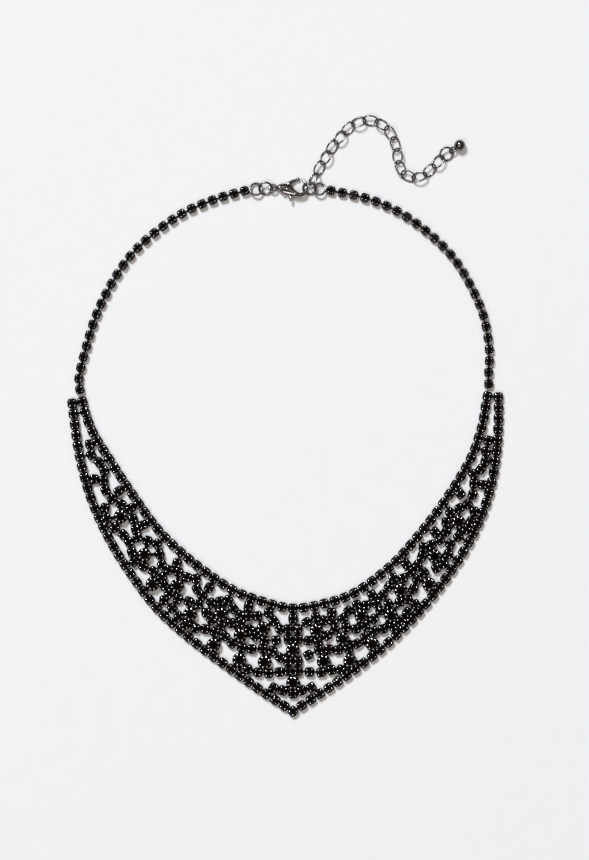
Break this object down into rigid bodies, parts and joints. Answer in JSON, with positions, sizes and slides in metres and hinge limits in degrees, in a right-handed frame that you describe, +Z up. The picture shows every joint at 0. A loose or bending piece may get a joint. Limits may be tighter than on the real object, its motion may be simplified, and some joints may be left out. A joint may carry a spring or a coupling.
{
  "type": "bib necklace",
  "caption": "Open V-shaped bib of black cut stones in gunmetal cups, with a neck chain of stones, a sprung hook clasp and an extender chain that ends in a ball.",
  "frame": {"origin": "under the middle cup of the neckline, on the surface that the necklace lies on", "axes": "+Y towards the clasp, +X towards the side that carries the extender, +Z up off the surface"},
  "size_m": [0.1305, 0.1793, 0.0035],
  "materials": {
    "black_glass": "faceted, high gloss",
    "gunmetal": "polished dark plate"
  },
  "bodies": {
    "necklace": {"bib": "black_glass", "neck_chain_left": "black_glass", "neck_chain_right": "black_glass", "jump_ring_left": "gunmetal", "jump_ring_right": "gunmetal", "clasp_hook": "gunmetal", "extender_link_01": "gunmetal", "extender_link_02": "gunmetal", "extender_link_03": "gunmetal", "extender_link_04": "gunmetal", "extender_link_05": "gunmetal", "extender_link_06": "gunmetal", "extender_link_07": "gunmetal", "extender_link_08": "gunmetal", "extender_link_09": "gunmetal", "extender_link_10": "gunmetal", "extender_link_11": "gunmetal", "extender_link_12": "gunmetal", "extender_link_13": "gunmetal", "extender_link_14": "gunmetal", "extender_link_15": "gunmetal", "extender_link_16": "gunmetal", "extender_link_17": "gunmetal", "extender_ring": "gunmetal", "ball_drop": "gunmetal"},
    "lever": {"clasp_lever": "gunmetal"}
  },
  "joints": [
    {"name": "lever_pivot", "type": "hinge", "parent": "necklace", "child": "lever", "pos_m": [-0.0017, 0.12532, 0.0015], "axis": [0, 0.2419, 0.9703], "range_deg": [-16, 0], "stiffness_Nm_per_rad": 0.00002, "springref_deg": 11.46}
  ]
}
